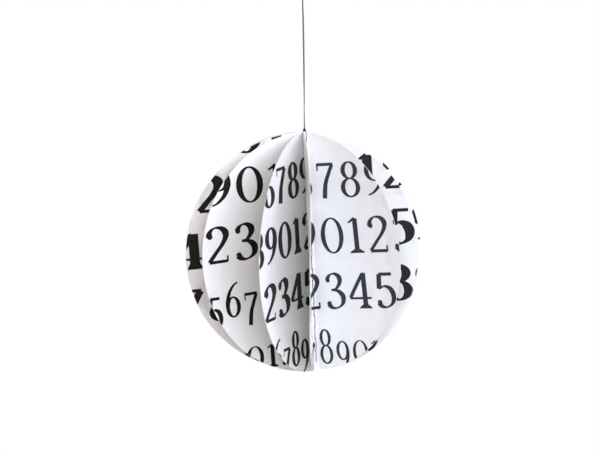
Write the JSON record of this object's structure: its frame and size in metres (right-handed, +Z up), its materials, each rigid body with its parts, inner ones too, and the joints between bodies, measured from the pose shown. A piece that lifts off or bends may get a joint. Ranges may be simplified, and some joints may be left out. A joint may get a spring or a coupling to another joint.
{
  "type": "paper bauble",
  "caption": "Hanging ball of sewn paper circles fanned open into upright leaves, printed with rows of numerals, on a loop of dark thread.",
  "frame": {"origin": "inside top of the hanging loop, where the hook bears", "axes": "+Z up along the taut thread, -Y towards the front of the bauble, +X to its right"},
  "size_m": [0.0984, 0.1008, 0.1899],
  "materials": {
    "paper": "smooth uncoated white paper, matt",
    "thread": "matt dark grey sewing thread"
  },
  "bodies": {
    "root": {"paper_circle_1": "paper", "paper_circle_2": "paper", "paper_circle_3": "paper", "paper_circle_4": "paper", "paper_circle_5": "paper", "paper_circle_6": "paper", "seam_thread": "thread", "pole_knot": "thread", "hanging_thread": "thread", "loop_knot": "thread", "hanging_loop": "thread"}
  },
  "joints": []
}
